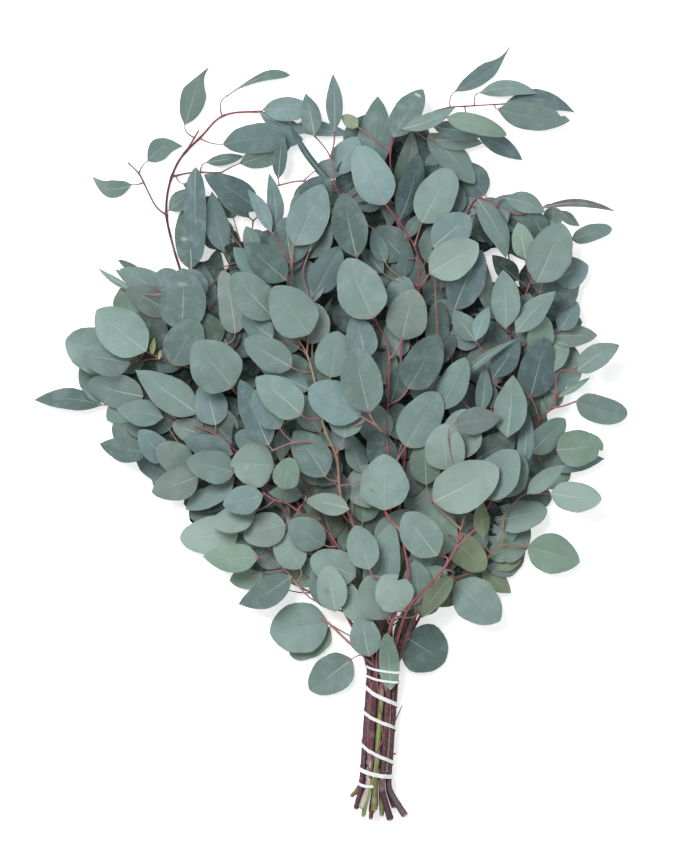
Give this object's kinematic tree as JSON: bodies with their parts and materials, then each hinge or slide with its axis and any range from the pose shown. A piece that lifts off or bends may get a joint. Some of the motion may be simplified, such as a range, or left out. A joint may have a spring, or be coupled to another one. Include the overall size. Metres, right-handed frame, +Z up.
{
  "type": "tied eucalyptus bunch",
  "caption": "Bunch of round-leaved eucalyptus stems with twigs and leaves, lying flat, gathered at the cut ends and wound with a white elastic.",
  "frame": {"origin": "on the surface the bunch lies on, under the middle of its outline", "axes": "+X across the bunch, to the right as seen from above with the leaf tips up; +Y from the cut ends to the leaf tips; +Z up from the surface"},
  "size_m": [0.476, 0.6203, 0.0902],
  "materials": {
    "leaf": "matte grey-green eucalyptus leaves on brown and reddish stems",
    "elastic": "matte white elastic"
  },
  "bodies": {
    "root": {"leafy_stem_01": "leaf", "leafy_stem_02": "leaf", "leafy_stem_03": "leaf", "leafy_stem_04": "leaf", "leafy_stem_05": "leaf", "leafy_stem_06": "leaf", "leafy_stem_07": "leaf", "leafy_stem_08": "leaf", "leafy_stem_09": "leaf", "leafy_stem_10": "leaf", "leafy_stem_11": "leaf", "leafy_stem_12": "leaf", "leafy_stem_13": "leaf", "leafy_stem_14": "leaf", "leafy_stem_15": "leaf", "leafy_stem_16": "leaf", "elastic_tie": "elastic"}
  },
  "joints": []
}
